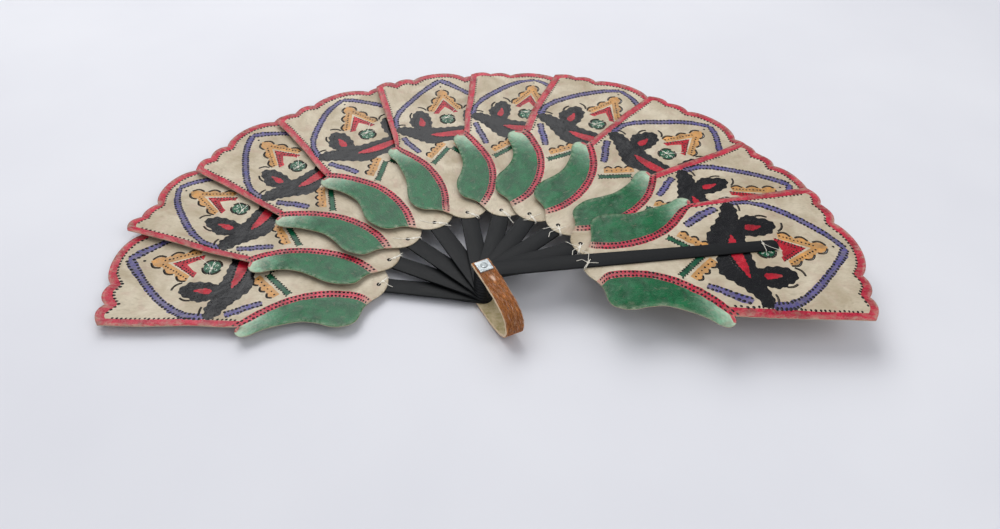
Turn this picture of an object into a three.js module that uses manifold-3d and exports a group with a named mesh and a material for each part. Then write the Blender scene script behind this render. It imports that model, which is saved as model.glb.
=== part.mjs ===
// A folding hand fan of ten painted hide leaves, each tied to its own slim stick. The ten sticks turn
// on one rivet, and a hair-on hide strap loops from the front of the rivet round to its back.
// Millimetres, +Z up. The pivot axis is Z, the origin is the underside of the rivet's rear head, and the
// open fan spreads over +Y with its rear guard to the left and its front guard to the right.
import * as THREE from 'three';
import Module from 'manifold-3d';
import { mergeVertices } from 'three/addons/utils/BufferGeometryUtils.js';

const wasm = await Module();
wasm.setup();

// ---- Driving dimensions -----------------------------------------------------------------------------

// Directions of the sticks when the fan is open, in degrees from +X, from the rear guard to the front.
const OPEN_ANGLES = [175, 157.5, 140, 121, 101, 81.5, 64.5, 45, 24.5, 9.5];

// Each stick is thick at its head, where the sticks bear on each other, and thin along its blade.
const STACK_BASE_Z = 2.8;
const PITCH = 2.3;
const HEAD_THICKNESS = 2.1;
const BLADE_THICKNESS = 1.2;
const HEAD_RADIUS = 7;
const BLADE_START = 20;
const STICK_TIP = 176;
const HEAD_WIDTH = 11.5;
const TIP_WIDTH = 8.3;
const RIVET_HOLE_RADIUS = 1.45;
const TIE_HOLE_RADIUS = 0.8;

// The leaves lie on top of their sticks, but the last one lies under the front guard.
const LEAF_THICKNESS = 0.45;
const LEAF_GAP = 0.05;
const THREAD = 0.2;
const THREAD_WIDTH = 0.4;
const GUARD_EXTRA = 0.6;

// Half of a leaf's outline, in the leaf's own frame: X runs out along the stick, Y across it.
const LEAF_INNER = 57;
const LEAF_SHOULDER = [62.5, 12];
const LOBE_START = [67.5, 19];
const LOBE = [[70, 29], [76.5, 34], [84, 35.8], [93, 35], [102, 35], [110, 37.6], [118, 42], [124, 47],
  [129, 48.9], [133, 46.8]];
const LEAF_KINK = [134.5, 42.5];
const LEAF_CORNER = [210, 51.5];
const LEAF_NOTCH_OUTER = [213.7, 36];
const LEAF_NOTCH_INNER = [216.7, 20.5];
const LEAF_APEX = 224;

// The leaves are cut by hand, so each is a little wider or narrower, longer or shorter than the pattern.
// Its length is counted from the tie. The last leaf is tied a little askew to its guard.
const LEAF_WIDTHS = [1.05, 0.93, 0.97, 1.01, 0.93, 0.93, 0.99, 1, 0.93, 1.08];
const LEAF_LENGTHS = [1, 1.02, 1.01, 0.985, 0.985, 0.98, 1.01, 1, 0.985, 1.005];
const LEAF_TURNS = [0, 0, 0, 0, 0, 0, 0, 0, 0, -2];
const TIE_X = 60;

// The ties. The inner one goes down the hole near the leaf's inner end and round the stick's right edge;
// the outer one goes round the stick through a hole on each side of it.
const INNER_TIE_HOLE = [62.3, 0.6];
const INNER_TIE_EDGE = [57.2, -6.1];
const OUTER_TIE_X = 167;
const OUTER_TIE_Y = 4.9;

// The strap, its two ends under the rivet's head and its washer.
const STRAP_ANGLE = -60;
const STRAP_WIDTH = 11;
const STRAP_THICKNESS = 1.7;
const STRAP_REACH = 42;
const STRAP_END = -7;
const STRAP_GAP = 0.15;

// The rivet and the square washer that its front end is peened over.
const REAR_HEAD_RADIUS = 4.5;
const REAR_HEAD_THICKNESS = 0.8;
const SHANK_RADIUS = 1.3;
const WASHER_SIDE = 8.5;
const WASHER_THICKNESS = 0.9;
const PEEN_RADIUS = 2.1;
const PEEN_HEIGHT = 0.5;
const ROUND_SEGMENTS = 32;

// ---- Finishes ---------------------------------------------------------------------------------------

const finish = (color, roughness, metalness = 0) =>
  new THREE.MeshStandardMaterial({ color, roughness, metalness });
const BLACK_HORN = { color: 0x2d3032, roughness: 0.45 };
const PARCHMENT = { color: 0xc8bca5, roughness: 0.6 };
const LINEN = { color: 0xe2dccb, roughness: 0.9 };
const HIDE = { color: 0xa05f32, roughness: 0.85 };
const PALE_METAL = { color: 0xc9ced0, roughness: 0.4, metalness: 0.7 };

const fan = new THREE.Group();

function addMesh(parent, name, geometry, look) {
  const mesh = new THREE.Mesh(geometry, finish(look.color, look.roughness, look.metalness));
  mesh.name = name;
  parent.add(mesh);
  return mesh;
}

// ---- Solids -----------------------------------------------------------------------------------------

function toSolid(geometry) {
  const bare = geometry.clone();
  bare.deleteAttribute('normal');
  bare.deleteAttribute('uv');
  const merged = mergeVertices(bare, 1e-4);
  return new wasm.Manifold(new wasm.Mesh({
    numProp: 3,
    vertProperties: new Float32Array(merged.attributes.position.array),
    triVerts: new Uint32Array(merged.index.array),
  }));
}

function toGeometry(solid) {
  const { vertProperties, triVerts } = solid.getMesh();
  const geometry = new THREE.BufferGeometry();
  geometry.setAttribute('position', new THREE.BufferAttribute(new Float32Array(vertProperties), 3));
  geometry.setIndex(new THREE.BufferAttribute(new Uint32Array(triVerts), 1));
  return geometry;
}

// A flat plate of the given outline, its underside at z = bottom.
function plate(shape, bottom, thickness, curveSegments = 10) {
  const geometry = new THREE.ExtrudeGeometry(shape, { depth: thickness, bevelEnabled: false, curveSegments });
  geometry.translate(0, 0, bottom);
  return geometry;
}

function roundHole(x, y, radius) {
  const hole = new THREE.Path();
  hole.absarc(x, y, radius, 0, Math.PI * 2, true);
  return hole;
}

// ---- Sticks -----------------------------------------------------------------------------------------

// The plan of a stick: a round head on the pivot, straight sides that taper, and a round tip.
function stickPlan() {
  const tipRadius = TIP_WIDTH / 2;
  const plan = new THREE.Shape();
  plan.moveTo(0, HEAD_WIDTH / 2);
  plan.absarc(0, 0, HEAD_WIDTH / 2, Math.PI / 2, Math.PI * 1.5, false);
  plan.lineTo(BLADE_START, -HEAD_WIDTH / 2);
  plan.lineTo(STICK_TIP - tipRadius, -tipRadius);
  plan.absarc(STICK_TIP - tipRadius, 0, tipRadius, -Math.PI / 2, Math.PI / 2, false);
  plan.lineTo(BLADE_START, HEAD_WIDTH / 2);
  plan.closePath();
  plan.holes.push(roundHole(0, 0, RIVET_HOLE_RADIUS), roundHole(...INNER_TIE_HOLE, TIE_HOLE_RADIUS));
  return plan;
}

// The wedge of air below the blade, in a side view: the underside slopes up from the head to the blade.
function underBlade(headThickness) {
  const rise = headThickness - BLADE_THICKNESS;
  const side = new THREE.Shape();
  side.moveTo(HEAD_RADIUS + 1, -1);
  side.lineTo(HEAD_RADIUS + 1, 0);
  side.lineTo(BLADE_START, rise);
  side.lineTo(STICK_TIP + 5, rise);
  side.lineTo(STICK_TIP + 5, -1);
  side.closePath();
  const wedge = plate(side, -HEAD_WIDTH, HEAD_WIDTH * 2);
  wedge.rotateX(Math.PI / 2);
  return wedge;
}

function stickGeometry(headThickness) {
  const blank = toSolid(plate(stickPlan(), 0, headThickness, 8));
  return toGeometry(blank.subtract(toSolid(underBlade(headThickness))));
}

// ---- Leaves -----------------------------------------------------------------------------------------

// One half of the outline, from the middle of the inner edge to the apex. side is 1 for the left half
// and -1 for the right.
function halfOutline(side) {
  const path = new THREE.Path();
  path.moveTo(LEAF_INNER, 0);
  path.quadraticCurveTo(LEAF_INNER, 7 * side, LEAF_SHOULDER[0], LEAF_SHOULDER[1] * side);
  path.lineTo(LOBE_START[0], LOBE_START[1] * side);
  path.splineThru(LOBE.map(([x, y]) => new THREE.Vector2(x, y * side)));
  path.lineTo(LEAF_KINK[0], LEAF_KINK[1] * side);
  path.lineTo(LEAF_CORNER[0], LEAF_CORNER[1] * side);
  path.quadraticCurveTo(218, 43 * side, LEAF_NOTCH_OUTER[0], LEAF_NOTCH_OUTER[1] * side);
  path.quadraticCurveTo(221, 28 * side, LEAF_NOTCH_INNER[0], LEAF_NOTCH_INNER[1] * side);
  path.bezierCurveTo(221, 17 * side, LEAF_APEX, 9 * side, LEAF_APEX, 0);
  return path.getPoints(5);
}

function leafOutline(index) {
  const left = halfOutline(1);
  const right = halfOutline(-1);
  const outline = [...right, ...left.slice(1, -1).reverse()];
  const turn = THREE.MathUtils.degToRad(LEAF_TURNS[index]);
  return outline.map(({ x, y }) => {
    const cut = new THREE.Vector2(TIE_X + (x - TIE_X) * LEAF_LENGTHS[index], y * LEAF_WIDTHS[index]);
    return cut.rotateAround(new THREE.Vector2(), turn);
  });
}

function leafGeometry(index, bottom) {
  const outline = new THREE.Shape(leafOutline(index));
  outline.holes.push(
    roundHole(...INNER_TIE_HOLE, TIE_HOLE_RADIUS),
    roundHole(OUTER_TIE_X, OUTER_TIE_Y, TIE_HOLE_RADIUS),
    roundHole(OUTER_TIE_X, -OUTER_TIE_Y, TIE_HOLE_RADIUS),
  );
  return plate(outline, bottom, LEAF_THICKNESS, 4);
}

// ---- Ties -------------------------------------------------------------------------------------------

// A flat thread tied round everything between two heights, through the points from and to of the plan.
function tieGeometry(from, to, low, high) {
  const start = new THREE.Vector2(...from);
  const along = new THREE.Vector2(...to).sub(start);
  const half = THREAD / 2;
  const loop = new THREE.Shape();
  loop.moveTo(-half, low - THREAD);
  loop.lineTo(along.length() + half, low - THREAD);
  loop.lineTo(along.length() + half, high + THREAD);
  loop.lineTo(-half, high + THREAD);
  loop.closePath();
  const inside = new THREE.Path();
  inside.moveTo(half, low);
  inside.lineTo(half, high);
  inside.lineTo(along.length() - half, high);
  inside.lineTo(along.length() - half, low);
  inside.closePath();
  loop.holes.push(inside);
  const thread = plate(loop, -THREAD_WIDTH / 2, THREAD_WIDTH);
  thread.rotateX(Math.PI / 2);
  thread.rotateZ(along.angle());
  thread.translate(start.x, start.y, 0);
  return thread;
}

// ---- One blade of the fan: stick, leaf and its two ties ---------------------------------------------

function addBlade(index) {
  const number = String(index + 1).padStart(2, '0');
  const isGuard = index === OPEN_ANGLES.length - 1;
  const headThickness = HEAD_THICKNESS + (isGuard ? GUARD_EXTRA : 0);
  const bladeBottom = headThickness - BLADE_THICKNESS;
  const leafBottom = isGuard ? bladeBottom - LEAF_GAP - LEAF_THICKNESS : headThickness + LEAF_GAP;
  const low = Math.min(bladeBottom, leafBottom) - LEAF_GAP;
  const high = Math.max(headThickness, leafBottom + LEAF_THICKNESS) + LEAF_GAP;

  const blade = new THREE.Group();
  blade.position.z = STACK_BASE_Z + PITCH * index;
  blade.rotation.z = THREE.MathUtils.degToRad(OPEN_ANGLES[index]);
  fan.add(blade);

  const names = { 0: 'rear_guard', [OPEN_ANGLES.length - 1]: 'front_guard' };
  addMesh(blade, names[index] ?? `stick_${number}`, stickGeometry(headThickness), BLACK_HORN);
  addMesh(blade, `leaf_${number}`, leafGeometry(index, leafBottom), PARCHMENT);
  addMesh(blade, `inner_tie_${number}`, tieGeometry(INNER_TIE_HOLE, INNER_TIE_EDGE, low, high), LINEN);
  const outerFrom = [OUTER_TIE_X, -OUTER_TIE_Y];
  const outerTo = [OUTER_TIE_X, OUTER_TIE_Y];
  addMesh(blade, `outer_tie_${number}`, tieGeometry(outerFrom, outerTo, low, high), LINEN);
}

OPEN_ANGLES.forEach((angle, index) => addBlade(index));

// ---- Pivot ------------------------------------------------------------------------------------------

const STACK_TOP_Z = STACK_BASE_Z + PITCH * (OPEN_ANGLES.length - 1) + HEAD_THICKNESS + GUARD_EXTRA;
const STRAP_LOW_Z = REAR_HEAD_THICKNESS + STRAP_GAP;
const STRAP_HIGH_Z = STACK_TOP_Z + STRAP_GAP + STRAP_THICKNESS;
const WASHER_Z = STRAP_HIGH_Z + STRAP_GAP;
const WASHER_TOP_Z = WASHER_Z + WASHER_THICKNESS;

// The rivet: flat rear head, plain shank, and the front end spread over the washer.
function rivetGeometry() {
  const peenStart = WASHER_TOP_Z + LEAF_GAP;
  const profile = [
    [0, 0],
    [REAR_HEAD_RADIUS - 0.2, 0],
    [REAR_HEAD_RADIUS, 0.2],
    [REAR_HEAD_RADIUS, REAR_HEAD_THICKNESS - 0.2],
    [REAR_HEAD_RADIUS - 0.2, REAR_HEAD_THICKNESS],
    [SHANK_RADIUS, REAR_HEAD_THICKNESS],
    [SHANK_RADIUS, peenStart],
    [PEEN_RADIUS, peenStart],
    [PEEN_RADIUS * 0.85, peenStart + PEEN_HEIGHT * 0.6],
    [PEEN_RADIUS * 0.45, peenStart + PEEN_HEIGHT],
    [0, peenStart + PEEN_HEIGHT],
  ];
  return new THREE.LatheGeometry(profile.map(([x, y]) => new THREE.Vector2(x, y)), ROUND_SEGMENTS)
    .rotateX(Math.PI / 2);
}

function washerGeometry() {
  const half = WASHER_SIDE / 2;
  const square = new THREE.Shape();
  square.moveTo(-half, -half);
  square.lineTo(half, -half);
  square.lineTo(half, half);
  square.lineTo(-half, half);
  square.closePath();
  square.holes.push(roundHole(0, 0, RIVET_HOLE_RADIUS));
  return plate(square, WASHER_Z, WASHER_THICKNESS, 8);
}

// The strap in side view: flat over and under the stack, and bent round in a drop-shaped loop. Its
// middle line is offset both ways by half its thickness.
function strapSide() {
  const low = STRAP_LOW_Z + STRAP_THICKNESS / 2;
  const high = STRAP_HIGH_Z - STRAP_THICKNESS / 2;
  const middle = (low + high) / 2;
  const line = new THREE.CurvePath();
  const corner = (x, z) => new THREE.Vector2(x, z);
  line.add(new THREE.LineCurve(corner(STRAP_END, high), corner(HEAD_RADIUS, high)));
  line.add(new THREE.CubicBezierCurve(
    corner(HEAD_RADIUS, high), corner(26, high), corner(STRAP_REACH - 1, high - 3),
    corner(STRAP_REACH - STRAP_THICKNESS / 2, middle)));
  line.add(new THREE.CubicBezierCurve(
    corner(STRAP_REACH - STRAP_THICKNESS / 2, middle), corner(STRAP_REACH - 1, low + 3), corner(26, low),
    corner(HEAD_RADIUS, low)));
  line.add(new THREE.LineCurve(corner(HEAD_RADIUS, low), corner(STRAP_END, low)));
  const steps = 14;
  const spots = line.curves.flatMap((curve, number) => {
    const count = curve.isLineCurve ? 1 : steps;
    return Array.from({ length: count }, (_, step) => [curve, step / count]);
  });
  spots.push([line.curves.at(-1), 1]);
  const offset = (sign) => spots.map(([curve, t]) => {
    const tangent = curve.getTangent(t);
    const normal = new THREE.Vector2(-tangent.y, tangent.x);
    return curve.getPoint(t).addScaledVector(normal, sign * STRAP_THICKNESS / 2);
  });
  return new THREE.Shape([...offset(1), ...offset(-1).reverse()]);
}

function strapGeometry() {
  const band = plate(strapSide(), -STRAP_WIDTH / 2, STRAP_WIDTH);
  band.rotateX(Math.PI / 2);
  const holeLength = STRAP_HIGH_Z + 10;
  const punch = new THREE.CylinderGeometry(RIVET_HOLE_RADIUS, RIVET_HOLE_RADIUS, holeLength * 2, 24);
  punch.rotateX(Math.PI / 2);
  return toGeometry(toSolid(band).subtract(toSolid(punch)));
}

const pivot = new THREE.Group();
fan.add(pivot);
addMesh(pivot, 'pivot_rivet', rivetGeometry(), PALE_METAL);

const hanger = new THREE.Group();
hanger.rotation.z = THREE.MathUtils.degToRad(STRAP_ANGLE);
fan.add(hanger);
addMesh(hanger, 'hanging_strap', strapGeometry(), HIDE);
addMesh(hanger, 'square_washer', washerGeometry(), PALE_METAL);

export default fan;
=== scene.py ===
"""The looks of the folding hand fan: ten painted and pierced hide leaves tied to black sticks, a riveted
pivot and a hanging strap of hair-on hide. Every piece is placed by the CAD frame. The pattern of a leaf is
drawn once, in millimetres, in the leaf's own frame: x runs out along the stick, and y across it."""

import math

import bmesh
import bpy
import numpy as np
from mathutils import Matrix, Vector, noise
from mathutils.geometry import delaunay_2d_cdt


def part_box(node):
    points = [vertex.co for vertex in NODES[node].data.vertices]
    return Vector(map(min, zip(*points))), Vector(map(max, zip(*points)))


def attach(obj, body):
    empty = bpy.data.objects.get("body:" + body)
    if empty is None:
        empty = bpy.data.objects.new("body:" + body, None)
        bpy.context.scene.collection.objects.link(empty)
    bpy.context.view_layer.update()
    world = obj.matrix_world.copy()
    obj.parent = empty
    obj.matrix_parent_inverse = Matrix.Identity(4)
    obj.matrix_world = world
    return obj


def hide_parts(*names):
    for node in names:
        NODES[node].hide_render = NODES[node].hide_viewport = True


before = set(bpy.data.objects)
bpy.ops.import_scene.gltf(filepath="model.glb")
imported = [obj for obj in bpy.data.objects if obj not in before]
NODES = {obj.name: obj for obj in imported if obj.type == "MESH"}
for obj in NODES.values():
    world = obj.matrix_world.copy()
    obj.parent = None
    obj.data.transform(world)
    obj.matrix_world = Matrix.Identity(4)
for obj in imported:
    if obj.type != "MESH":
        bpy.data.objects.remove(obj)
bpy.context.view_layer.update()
MM = 0.001
COUNT = 10
SEED_STEP = 40.0  # between one piece's noise and the next one's

# ---- Sizes that the CAD part shares, in millimetres

LEAF_WIDTHS = [1.05, 0.93, 0.97, 1.01, 0.93, 0.93, 0.99, 1, 0.93, 1.08]
LEAF_LENGTHS = [1, 1.02, 1.01, 0.985, 0.985, 0.98, 1.01, 1, 0.985, 1.005]
LEAF_TURNS = [0, 0, 0, 0, 0, 0, 0, 0, 0, -2]
TIE_X = 60
LEAF_THICKNESS = 0.45
INNER_TIE_HOLE = (62.3, 0.6)
INNER_TIE_EDGE = (57.2, -6.1)
OUTER_TIE_X, OUTER_TIE_Y = 167, 4.9
TIE_HOLE_RADIUS = 0.8
THREAD_ROOM = 0.27

STICK_TIP = 176
HEAD_WIDTH, TIP_WIDTH = 11.5, 8.3
HEAD_RADIUS, BLADE_START = 7, 20
BLADE_THICKNESS = 1.2
RIVET_HOLE_RADIUS = 1.45

STRAP_ANGLE = math.radians(-60)
STRAP_SET = math.radians(1.6)
STRAP_WIDTH, STRAP_THICKNESS = 11, 1.7
STRAP_REACH, STRAP_END, STRAP_TOP_END = 39.4, -7, -5.2
SHANK_RADIUS, REAR_HEAD_RADIUS = 1.3, 4.5
WASHER_SIDE = 8.5

# ---- Colours


def colour(red, green, blue, cover=1.0):
    """A paint, given as a screen colour from 0 to 255, in linear light, with how fully it covers."""
    linear = [((c / 255 + 0.055) / 1.055) ** 2.4 if c > 10 else c / 255 / 12.92 for c in (red, green, blue)]
    return (*linear, cover)


BARE = colour(205, 190, 163, 0.0)
RED = colour(186, 30, 60, 1.08)
GREEN = colour(3, 94, 52, 1.25)
PALE_TIP = colour(160, 200, 172, 0.8)
BLUE = colour(52, 50, 132, 0.92)
BLACK = colour(14, 14, 17, 1.6)
AMBER = colour(202, 142, 68, 0.96)
DARK_GREEN = colour(8, 84, 54, 1.3)
PETAL = colour(196, 220, 200, 1.2)
INSERT_RED = colour(182, 24, 44, 1.25)
CUT_EDGE = colour(196, 176, 140, 0.5)
# Painted shade: the dark rings round pricked holes and cut slots, and the dark walls of holes, stand in for
# the shade seen through them.
HOLE_SHADE = colour(20, 14, 13, 1.6)

# ---- Drawing in the plane


def smooth(points, step=1.6, closed=False):
    """A Catmull-Rom curve through the points, with a point about every step."""
    given = np.array(points, float)
    count = len(given)
    spans = count if closed else count - 1
    found = []
    for k in range(spans):
        if closed:
            a, b, c, d = (given[(k + j) % count] for j in (-1, 0, 1, 2))
        else:
            b, c = given[k], given[k + 1]
            a = given[k - 1] if k else 2 * b - c
            d = given[k + 2] if k + 2 < count else 2 * c - b
        pieces = max(1, round(float(np.linalg.norm(c - b)) / step))
        for t in np.arange(pieces) / pieces:
            found.append(0.5 * (2 * b + (c - a) * t + (2 * a - 5 * b + 4 * c - d) * t**2
                                + (3 * b - a - 3 * c + d) * t**3))
    if not closed:
        found.append(given[-1])
    return np.array(found)


def bezier(*points, pieces=12):
    """A Bezier curve of any degree, without its last point."""
    found = []
    for t in np.arange(pieces) / pieces:
        level = [np.array(p, float) for p in points]
        while len(level) > 1:
            level = [p * (1 - t) + q * t for p, q in zip(level, level[1:])]
        found.append(level[0])
    return np.array(found)


def distances(line):
    """How far along a line each of its points lies."""
    return np.concatenate([[0], np.cumsum(np.linalg.norm(np.diff(line, axis=0), axis=1))])


def normals(line):
    """The left-hand normal at each point of a line."""
    ahead = np.gradient(line, axis=0)
    ahead /= np.linalg.norm(ahead, axis=1)[:, None]
    return np.stack([-ahead[:, 1], ahead[:, 0]], 1)


def beside(line, distance):
    """The line moved to its left by a distance, which may change along it."""
    return line + normals(line) * np.reshape(distance, (-1, 1))


def offset_loop(loop, distance):
    """A closed loop grown outwards by a distance."""
    middle = loop.mean(0)
    ahead = np.roll(loop, -1, 0) - np.roll(loop, 1, 0)
    ahead /= np.linalg.norm(ahead, axis=1)[:, None]
    out = np.stack([ahead[:, 1], -ahead[:, 0]], 1)
    area = np.cross(loop - middle, np.roll(loop, -1, 0) - middle).sum()
    return loop + out * distance * (1 if area > 0 else -1)


def ribbon(line, left, right):
    """The outline of a stroke that reaches left and right of a line, with widths that may change along it."""
    left, right = np.broadcast_to(left, len(line)), np.broadcast_to(right, len(line))
    return np.concatenate([beside(line, left), beside(line, -right)[::-1]])


def brush(line, half):
    """The half widths of a stroke of the brush: full in the middle and round at both ends."""
    along = distances(line)
    reach = np.minimum(along, along[-1] - along) / half
    return half * np.sqrt(np.clip(1 - (1 - np.clip(reach, 0.08, 1)) ** 2, 0, 1))


def spaced(line, pitch, start=0.0, end=0.0):
    """Points at an even pitch along a line, from start after its first point to end before its last."""
    along = distances(line)
    room = along[-1] - start - end
    places = start + np.linspace(0, room, max(2, round(room / pitch) + 1))
    return np.stack([np.interp(places, along, line[:, k]) for k in (0, 1)], 1)


def scallops(line, count, depth, steps=5):
    """The line with count round bumps of the given depth on its left."""
    along = distances(line)
    share = np.linspace(0, 1, count * steps + 1)
    points = np.stack([np.interp(share * along[-1], along, line[:, k]) for k in (0, 1)], 1)
    return beside(points, depth * np.abs(np.sin(share * count * math.pi)) ** 0.7)


def circle(centre, radius, corners=7, turn=0.0):
    angles = np.arange(corners) / corners * math.tau + turn
    return np.array(centre) + radius * np.stack([np.cos(angles), np.sin(angles)], 1)


def crescent(first, last, bulge, width):
    """A curved slot from first to last, bulging to the left of that way."""
    first, last = np.array(first, float), np.array(last, float)
    across = np.array([first[1] - last[1], last[0] - first[0]]) / np.linalg.norm(last - first)
    share = np.linspace(0, 1, 7)
    arch = np.sin(share * math.pi)[:, None]
    middle = first + (last - first) * share[:, None] + across * bulge * arch
    half = across * width / 8 * (0.35 + 0.65 * arch)
    return np.concatenate([middle + half, (middle - half)[::-1]])


def mirror(points):
    return np.array(points, float) * [1, -1]


def for_half(side):
    """What turns a drawing of the left half into one of the given half, 1 for left and -1 for right."""
    return mirror if side < 0 else np.array


# ---- The pattern of a leaf

SHOULDER, LOBE_START = (62.5, 12), (67.5, 19)
LOBE = [(70, 29), (76.5, 34), (84, 35.8), (93, 35), (102, 35), (110, 37.6), (118, 42), (124, 47),
        (129, 48.9), (133, 46.8)]
KINK, CORNER = (134.5, 42.5), (210, 51.5)
NOTCH_OUTER, NOTCH_INNER, APEX = (213.7, 36), (216.7, 20.5), 224
BORDER = 4.8
BAND = [(60, 17.5), (65, 14.5), (72, 12), (80, 10.8), (90, 11.3), (98, 12.8), (107, 15.8), (115, 20),
        (122, 25.5), (129, 33), (134.5, 40), (137.5, 45)]
BAND_HALF = 2.5
RIM_WEAR = 2.4
ALMOND = [(215, -0.3), (208.5, 9.5), (200, 18.5), (191, 26.5), (182, 33), (174, 37.3), (166, 39.5),
          (157, 38.8)]
INNER_STROKE = [(128.5, 23), (134.5, 26.5), (140.5, 31), (147.5, 35.5)]
BAR = [(140.5, 0), (138.7, 7), (138.5, 14), (141.3, 19.5), (144.5, 24.5), (147, 28.5), (150, 34),
       (151.8, 38.5), (155, 40.3), (158.8, 38), (160, 32.5), (159.1, 27.5), (158.6, 21), (157.9, 13),
       (157.2, 5), (157.6, 0)]
WING = [(155, 15), (160, 12.6), (167, 11.9), (174, 13.2), (178, 16.5), (179.2, 20.5), (176, 24.3),
        (171, 26.3), (168.5, 28), (163.5, 28.3), (159, 26), (155, 24)]
WING_INSERT = [(160.3, 17.6), (165, 17), (170.4, 19.3), (166.5, 20.9), (161.3, 21.2)]
STRIPE = [(149.6, 14.5), (147.4, 9), (146.4, 3), (146.4, -4), (148.2, -12), (151.3, -19.5), (152.6, -12),
          (152.6, -4), (151.8, 4), (151.2, 10)]
ROSETTE, ROSETTE_RADIUS = (167, 0), 5.2
FLAME_BASE, FLAME_TIP = (178, 12.6), (205, 0)
ARROWHEAD = [(186, 0), (178.2, 6.6), (175.5, 4.5), (176.5, 0), (175.5, -4.5), (178.2, -6.6)]
FILLED_ARROWHEADS = [9]
GREEN_STRIP = [(115.5, 14.8), (132, 1.5)]
AMBER_STRIP = [(122.3, 17), (138, 4.5)]

# Each leaf was painted and punched by hand, so its motif sits a little off: (outwards, across), in
# millimetres, for the chevrons near its inner end and for the rest of the motif.
CHEVRON_SHIFTS = {0: (-3.2, 0), 1: (1, -0.6), 3: (1.5, 0.5), 4: (-1, 2.8), 5: (0.6, 0.4), 6: (1.4, -1.2),
                  9: (-4, 2.3)}
MOTIF_SHIFTS = {0: (-3.6, 0), 1: (1.2, 0.4), 2: (-0.8, 0.5), 3: (0.6, 0.8), 4: (-2.5, 0.5), 5: (3, 1),
                6: (2, -0.6), 7: (0.8, 0.3), 8: (-1, -0.5), 9: (0, 2.3)}
CORNER_PULLS = {1: 6.5, 8: -1.5}


def outer_edge():
    """The scalloped outer edge of the left half, from the corner to the apex."""
    return np.concatenate([
        bezier(CORNER, (218, 43), NOTCH_OUTER),
        bezier(NOTCH_OUTER, (221, 28), NOTCH_INNER),
        bezier(NOTCH_INNER, (221, 17), (APEX, 9), (APEX, 0)),
        [(APEX, 0)],
    ])


def half_outline():
    """The left half of the leaf's outline, from the middle of its inner edge to its apex."""
    inner = bezier((57, 0), (57, 7), SHOULDER)
    lobe = smooth([SHOULDER, LOBE_START, *LOBE, KINK], 1.2)[:-1]
    straight = bezier(KINK, CORNER, pieces=40)
    return np.concatenate([inner, lobe, straight, outer_edge()])


def leaf_outline():
    left = half_outline()
    return np.concatenate([left, mirror(left[1:-1][::-1])])


class Pattern:
    """The painted areas, in the order that they are painted, the holes of a leaf, and the rings of painted
    shade round its pricked holes and cut slots.
    """

    def __init__(self, seed):
        self.random = np.random.default_rng(seed)
        self.areas = []
        self.holes = []
        self.shade_rings = []

    def paint(self, outline, paint, wobble=0.25):
        """Adds an area whose edge wanders a little, as the brush did."""
        points = np.array(outline, float)
        drift = [noise.noise(Vector((x * 0.35, y * 0.35, 7 + len(self.areas)))) for x, y in points]
        lift = [noise.noise(Vector((x * 0.35, y * 0.35, 91 + len(self.areas)))) for x, y in points]
        self.areas.append((points + wobble * np.stack([drift, lift], 1) * 2, paint))

    def prick(self, places, radius=0.5):
        """Round holes from a punch, each a little out of line and ringed with painted shade."""
        for place in places:
            spot = place + self.random.normal(0, 0.12, 2)
            size = radius * self.random.uniform(0.98, 1.28)
            turn = self.random.uniform(0, 1)
            self.holes.append(circle(spot, size * 0.5, turn=turn))
            self.shade_rings.append(circle(spot, size * 1.42, turn=turn))

    def cut(self, outline):
        """A slot from a small chisel, ringed with painted shade."""
        points = np.array(outline, float)
        self.holes.append(points)
        self.shade_rings.append(offset_loop(points, 0.6))


def paint_borders(pattern, side):
    """The red edging of one half, its lobe, and the rows of holes along them."""
    flip = for_half(side)
    band = smooth(BAND, 1.5)
    lobe = np.concatenate([beside(band, BAND_HALF - 0.3), [(134, 60), (60, 60), (52, 20)]])
    pattern.paint(flip(lobe), GREEN)
    kink, corner = np.array(KINK, float), np.array(CORNER, float)
    way = (corner - kink) / np.linalg.norm(corner - kink)
    across = np.array([-way[1], way[0]])
    first, last = kink - way * 2, corner + way * 9
    straight = [first + across * 4, last + across * 4, last - across * BORDER, first - across * BORDER]
    pattern.paint(flip(straight), RED)
    edge = outer_edge()
    inner = beside(edge, -BORDER)
    middle = [(APEX + 6, -1), (APEX - BORDER, -1)]
    pattern.paint(flip(np.concatenate([edge[:-1] + [6, 0], middle, inner[::-1]])), RED)
    pattern.paint(flip(ribbon(band, BAND_HALF, BAND_HALF)), RED)
    for shift in (-1.45, 1.45):
        pattern.prick(flip(spaced(beside(band, shift), 2.3, 8, 3)), 0.52)
    inset = BORDER + 0.5
    row = np.array([kink + way * 4 - across * inset, corner - way * 6 - across * inset])
    pattern.prick(flip(spaced(row, 2.5)), 0.46)
    pattern.prick(flip(spaced(beside(edge, -BORDER - 0.4)[4:], 2.4, 2)), 0.5)


def paint_blue(pattern, side):
    """The almond that frames the motif, and the short stroke inside the kink."""
    flip = for_half(side)
    almond = smooth(ALMOND, 1.6)
    stroke = smooth(INNER_STROKE, 1.6)
    pattern.paint(flip(ribbon(almond, brush(almond, 2.3), brush(almond, 2.3))), BLUE, 0.5)
    pattern.paint(flip(ribbon(stroke, brush(stroke, 2.5), brush(stroke, 2.5))), BLUE, 0.5)
    for shift in (-1.7, 1.7):
        pattern.prick(flip(spaced(beside(almond, shift), 2.4, 1.5, 2)), 0.54)
        pattern.prick(flip(spaced(beside(stroke, shift), 2.4, 1, 1)), 0.54)


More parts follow.
